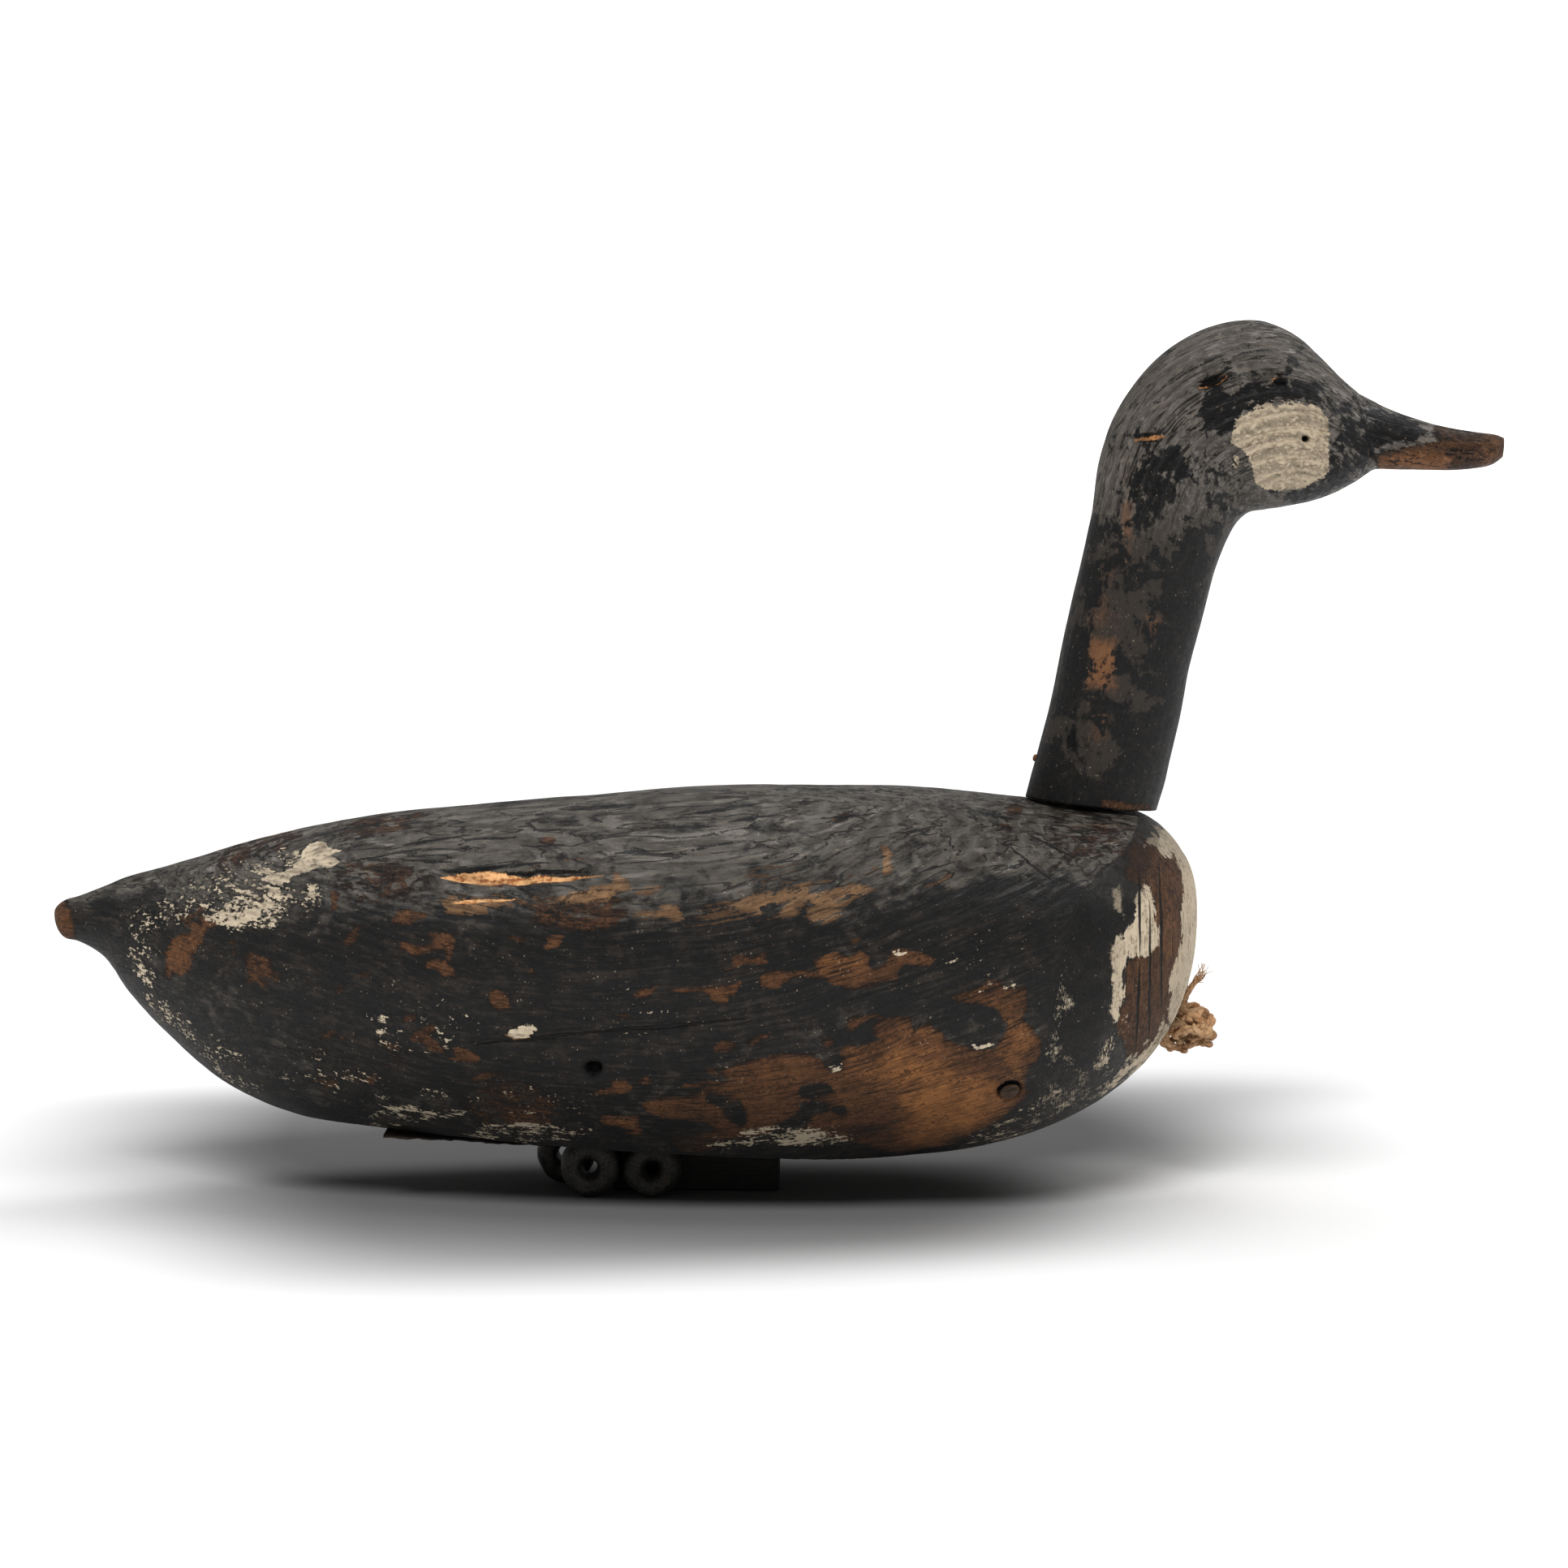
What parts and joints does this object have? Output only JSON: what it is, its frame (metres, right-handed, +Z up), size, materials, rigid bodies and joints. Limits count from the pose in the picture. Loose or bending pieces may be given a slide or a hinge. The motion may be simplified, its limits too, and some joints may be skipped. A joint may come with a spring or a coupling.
{
  "type": "goose decoy",
  "caption": "Carved wooden goose decoy with a long upright neck, a painted hull-shaped body and lead ballast that it stands on.",
  "frame": {"origin": "on the ground, under the middle of the decoy's bounding box", "axes": "+X towards the bill, +Y towards the decoy's left, +Z up"},
  "size_m": [0.7002, 0.2312, 0.4213],
  "materials": {
    "painted_body": "weathered black paint worn to bare wood, with white rump and breast",
    "painted_head": "weathered black paint with a white cheek",
    "dark_wood": "dark weathered wood",
    "tarred_strip": "dry and ragged",
    "lead": "dull grey cast lead",
    "iron": "rusted",
    "hemp": "frayed twisted fibre"
  },
  "bodies": {
    "root": {"body": "painted_body", "head_and_neck": "painted_head", "keel_block": "dark_wood", "side_plug": "dark_wood", "bottom_strip": "tarred_strip", "ballast_weight_1": "lead", "ballast_weight_2": "lead", "ballast_weight_3": "lead", "ballast_weight_4": "lead", "neck_nail": "iron", "anchor_line_knot": "hemp", "anchor_line_tail": "hemp"}
  },
  "joints": []
}
